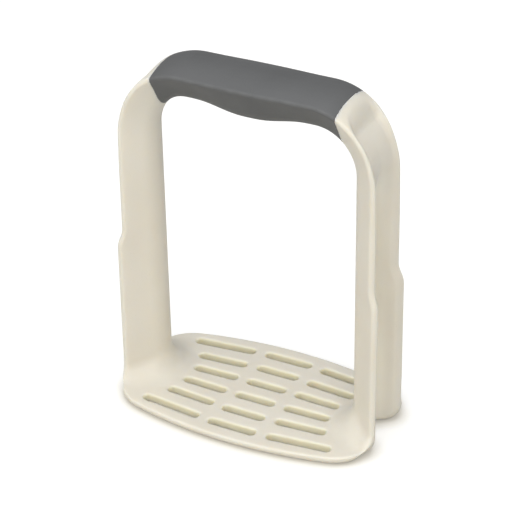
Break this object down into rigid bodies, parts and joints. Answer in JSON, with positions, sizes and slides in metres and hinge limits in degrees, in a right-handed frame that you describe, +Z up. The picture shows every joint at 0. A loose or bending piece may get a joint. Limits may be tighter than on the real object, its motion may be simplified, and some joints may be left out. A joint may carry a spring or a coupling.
{
  "type": "potato masher",
  "caption": "Wide-grip potato masher: a channel-section plastic loop stands on a slotted oval mashing plate and carries a soft swelled handle grip across its top.",
  "frame": {"origin": "centre of the plate's footprint, on the surface that the plate rests on", "axes": "+Z is up from the plate to the handle, X runs along the handle, Y runs from front to back"},
  "size_m": [0.1498, 0.0886, 0.1966],
  "materials": {
    "nylon": "ivory moulded nylon, satin, faintly translucent at thin edges",
    "rigid_insert": "grey moulded plastic, hidden",
    "soft_grip": "dark grey soft-touch overmould, matt"
  },
  "bodies": {
    "root": {"masher_frame": "nylon", "bridge_insert": "rigid_insert", "soft_grip": "soft_grip"}
  },
  "joints": []
}
